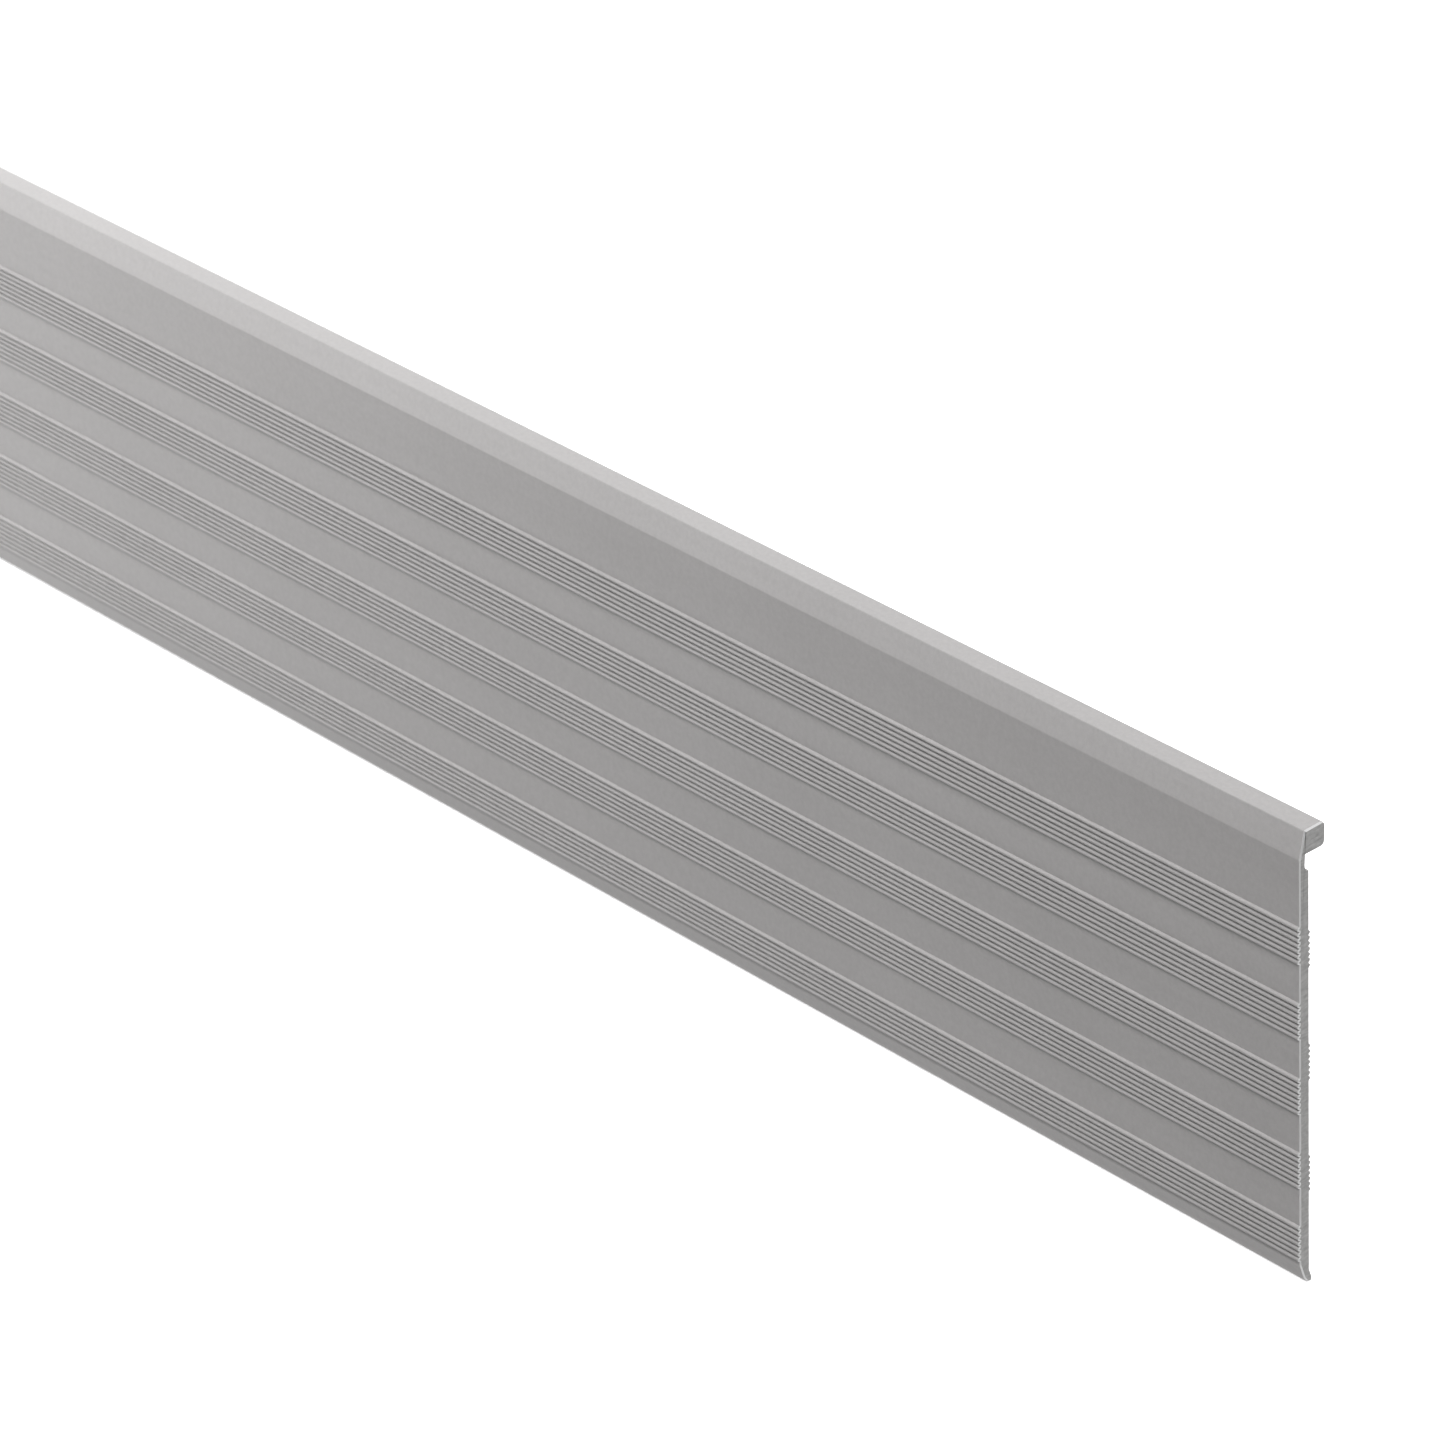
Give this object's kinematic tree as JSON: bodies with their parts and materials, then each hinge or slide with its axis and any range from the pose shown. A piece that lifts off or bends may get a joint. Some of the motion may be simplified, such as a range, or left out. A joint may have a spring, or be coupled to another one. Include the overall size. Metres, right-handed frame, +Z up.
{
  "type": "threshold strip",
  "caption": "Upright aluminium threshold strip with bands of grip ribs, a hooked top edge, a leaning lower lip and self-adhesive tapes on its key-ribbed back.",
  "frame": {"origin": "middle of the strip's length and of its depth, level with its lowest edge", "axes": "+X along the strip, +Y towards the riser it is bonded to (the ribbed front looks along -Y), +Z up"},
  "size_m": [1, 0.0076, 0.109],
  "materials": {
    "aluminium": "satin",
    "foam_tape": "matte",
    "release_liner": "satin"
  },
  "bodies": {
    "root": {"strip_profile": "aluminium", "lower_tape": "foam_tape", "lower_middle_tape": "foam_tape", "upper_middle_tape": "foam_tape", "upper_tape": "foam_tape", "lower_liner": "release_liner", "lower_middle_liner": "release_liner", "upper_middle_liner": "release_liner", "upper_liner": "release_liner"}
  },
  "joints": []
}
